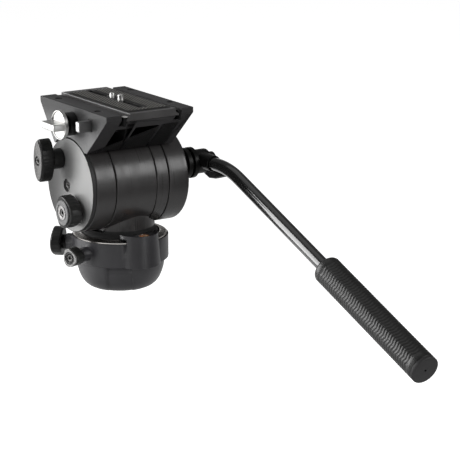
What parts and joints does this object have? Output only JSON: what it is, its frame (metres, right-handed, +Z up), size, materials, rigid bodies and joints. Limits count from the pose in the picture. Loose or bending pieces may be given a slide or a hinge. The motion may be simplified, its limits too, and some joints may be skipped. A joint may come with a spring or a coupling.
{
  "type": "fluid video head",
  "caption": "Tripod fluid head with a panning bowl base, a tilting barrel, a sliding camera plate and a bent pan handle with a rubber grip.",
  "frame": {"origin": "centre of the bowl's flat underside, on the pan axis and the tripod's screw", "axes": "+X along the tilt axis towards the pan handle, +Y the way the lens looks, +Z up along the pan axis"},
  "size_m": [0.1684, 0.4461, 0.1957],
  "materials": {
    "black_casting": "die-cast, black powder coat",
    "grey_face": "satin grey",
    "black_plastic": "fine matt",
    "black_rubber": "matt, patterned",
    "gloss_black": "gloss black coat",
    "silver": "satin silver",
    "steel": "turned",
    "brass": "turned",
    "amber": "clear amber liquid under a lens"
  },
  "bodies": {
    "base": {"base_bowl": "black_casting", "thread_insert": "brass", "base_collar": "black_casting", "level_vial": "amber", "pan_bush": "brass", "pan_lock_shoe": "brass", "pan_drag_shoe": "brass"},
    "scale_ring": {"pan_scale_ring": "silver"},
    "pan_lock": {"pan_lock_body": "black_plastic", "pan_lock_screw": "steel"},
    "pan_drag": {"pan_drag_body": "black_plastic", "pan_drag_face": "grey_face", "pan_drag_screw": "steel"},
    "pan": {"pan_housing": "black_casting", "housing_end_ring": "black_casting", "pan_spindle": "steel", "pan_damper_disc": "steel", "spindle_nut": "steel", "tilt_shaft": "steel", "disc_plate": "grey_face", "disc_screw": "steel", "counterbalance_spring": "steel", "tilt_damper": "steel", "tilt_lock_pad": "brass", "tilt_drag_pad": "brass"},
    "tilt_lock": {"tilt_lock_body": "black_plastic", "tilt_lock_face": "grey_face", "tilt_lock_screw": "steel"},
    "tilt_drag": {"tilt_drag_body": "black_plastic", "tilt_drag_face": "grey_face", "tilt_drag_screw": "steel"},
    "tilt": {"tilt_arm_left": "black_casting", "tilt_drag_plate": "steel", "tilt_cap_right": "black_casting", "platform_body": "black_casting", "rail_screw_left_front": "steel", "rail_screw_left_rear": "steel", "rail_screw_right_front": "steel", "rail_screw_right_rear": "steel", "tilt_bearing_left": "steel", "tilt_bearing_right": "steel", "jaw_fixed": "silver", "button_spring": "steel", "fixed_rosette": "black_casting"},
    "plate_lock": {"plate_lock_collar": "black_plastic", "plate_lock_knob": "silver"},
    "gib": {"jaw_gib": "silver"},
    "release_button": {"release_button": "grey_face"},
    "safety_catch": {"safety_catch": "steel"},
    "camera_plate": {"camera_plate": "black_casting", "plate_pad": "black_rubber"},
    "camera_screw": {"camera_screw": "silver"},
    "locating_pin": {"locating_pin": "silver"},
    "handle": {"handle_rosette": "black_casting", "handle_clamp": "black_casting", "handle_bolt": "steel", "handle_tube": "gloss_black", "grip": "black_rubber", "grip_end_cap": "black_rubber"},
    "lever": {"handle_lever": "black_plastic"}
  },
  "joints": [
    {"name": "scale_ring_turn", "type": "hinge", "parent": "base", "child": "scale_ring", "pos_m": [0, 0, 0.0505], "axis": [0, 0, 1], "continuous": true},
    {"name": "pan_lock_turn", "type": "hinge", "parent": "base", "child": "pan_lock", "pos_m": [-0.03876, 0.03615, 0.039], "axis": [-0.7314, 0.682, 0], "range_deg": [0, 180]},
    {"name": "pan_drag_turn", "type": "hinge", "parent": "base", "child": "pan_drag", "pos_m": [-0.05335, -0.0153, 0.039], "axis": [-0.9613, -0.2756, 0], "range_deg": [-150, 150]},
    {"name": "pan_turn", "type": "hinge", "parent": "base", "child": "pan", "pos_m": [0, 0, 0], "axis": [0, 0, 1], "continuous": true},
    {"name": "tilt_lock_turn", "type": "hinge", "parent": "pan", "child": "tilt_lock", "pos_m": [-0.054, 0.0174, 0.1276], "axis": [-1, 0, 0], "range_deg": [0, 180]},
    {"name": "tilt_drag_turn", "type": "hinge", "parent": "pan", "child": "tilt_drag", "pos_m": [-0.054, -0.0145, 0.0827], "axis": [-1, 0, 0], "range_deg": [-150, 150]},
    {"name": "tilt_turn", "type": "hinge", "parent": "pan", "child": "tilt", "pos_m": [0, 0, 0.1045], "axis": [1, 0, 0], "range_deg": [-60, 70]},
    {"name": "plate_lock_turn", "type": "hinge", "parent": "tilt", "child": "plate_lock", "pos_m": [-0.054, -0.0087, 0.1655], "axis": [-1, 0, 0], "range_deg": [0, 90]},
    {"name": "gib_slide", "type": "slide", "parent": "tilt", "child": "gib", "axis": [-1, 0, 0], "range_m": [0, 0.0013]},
    {"name": "release_button_press", "type": "slide", "parent": "tilt", "child": "release_button", "axis": [1, 0, 0], "range_m": [0, 0.0032], "stiffness_N_per_m": 500, "springref_m": -0.004},
    {"name": "safety_catch_slide", "type": "slide", "parent": "tilt", "child": "safety_catch", "axis": [0, 0, -1], "range_m": [0, 0.0022]},
    {"name": "camera_plate_slide", "type": "slide", "parent": "tilt", "child": "camera_plate", "axis": [0, 1, 0], "range_m": [-0.029, 0.029]},
    {"name": "camera_screw_turn", "type": "hinge", "parent": "camera_plate", "child": "camera_screw", "pos_m": [-0.0047, -0.0125, 0.178], "axis": [0, 0, 1], "continuous": true},
    {"name": "locating_pin_press", "type": "slide", "parent": "camera_plate", "child": "locating_pin", "axis": [0, 0, -1], "range_m": [0, 0.003], "stiffness_N_per_m": 300, "springref_m": -0.003},
    {"name": "handle_turn", "type": "hinge", "parent": "tilt", "child": "handle", "pos_m": [0.058, -0.03, 0.118], "axis": [1, 0, 0], "range_deg": [-75, 15]},
    {"name": "handle_lever_turn", "type": "hinge", "parent": "handle", "child": "lever", "pos_m": [0.0797, -0.03, 0.118], "axis": [1, 0, 0], "range_deg": [0, 120]}
  ],
  "couplings": [
    {"joint": "gib_slide", "follows": "plate_lock_turn", "m_per_rad": 0.00082761},
    {"joint": "safety_catch_slide", "follows": "release_button_press", "ratio": 0.6875}
  ]
}
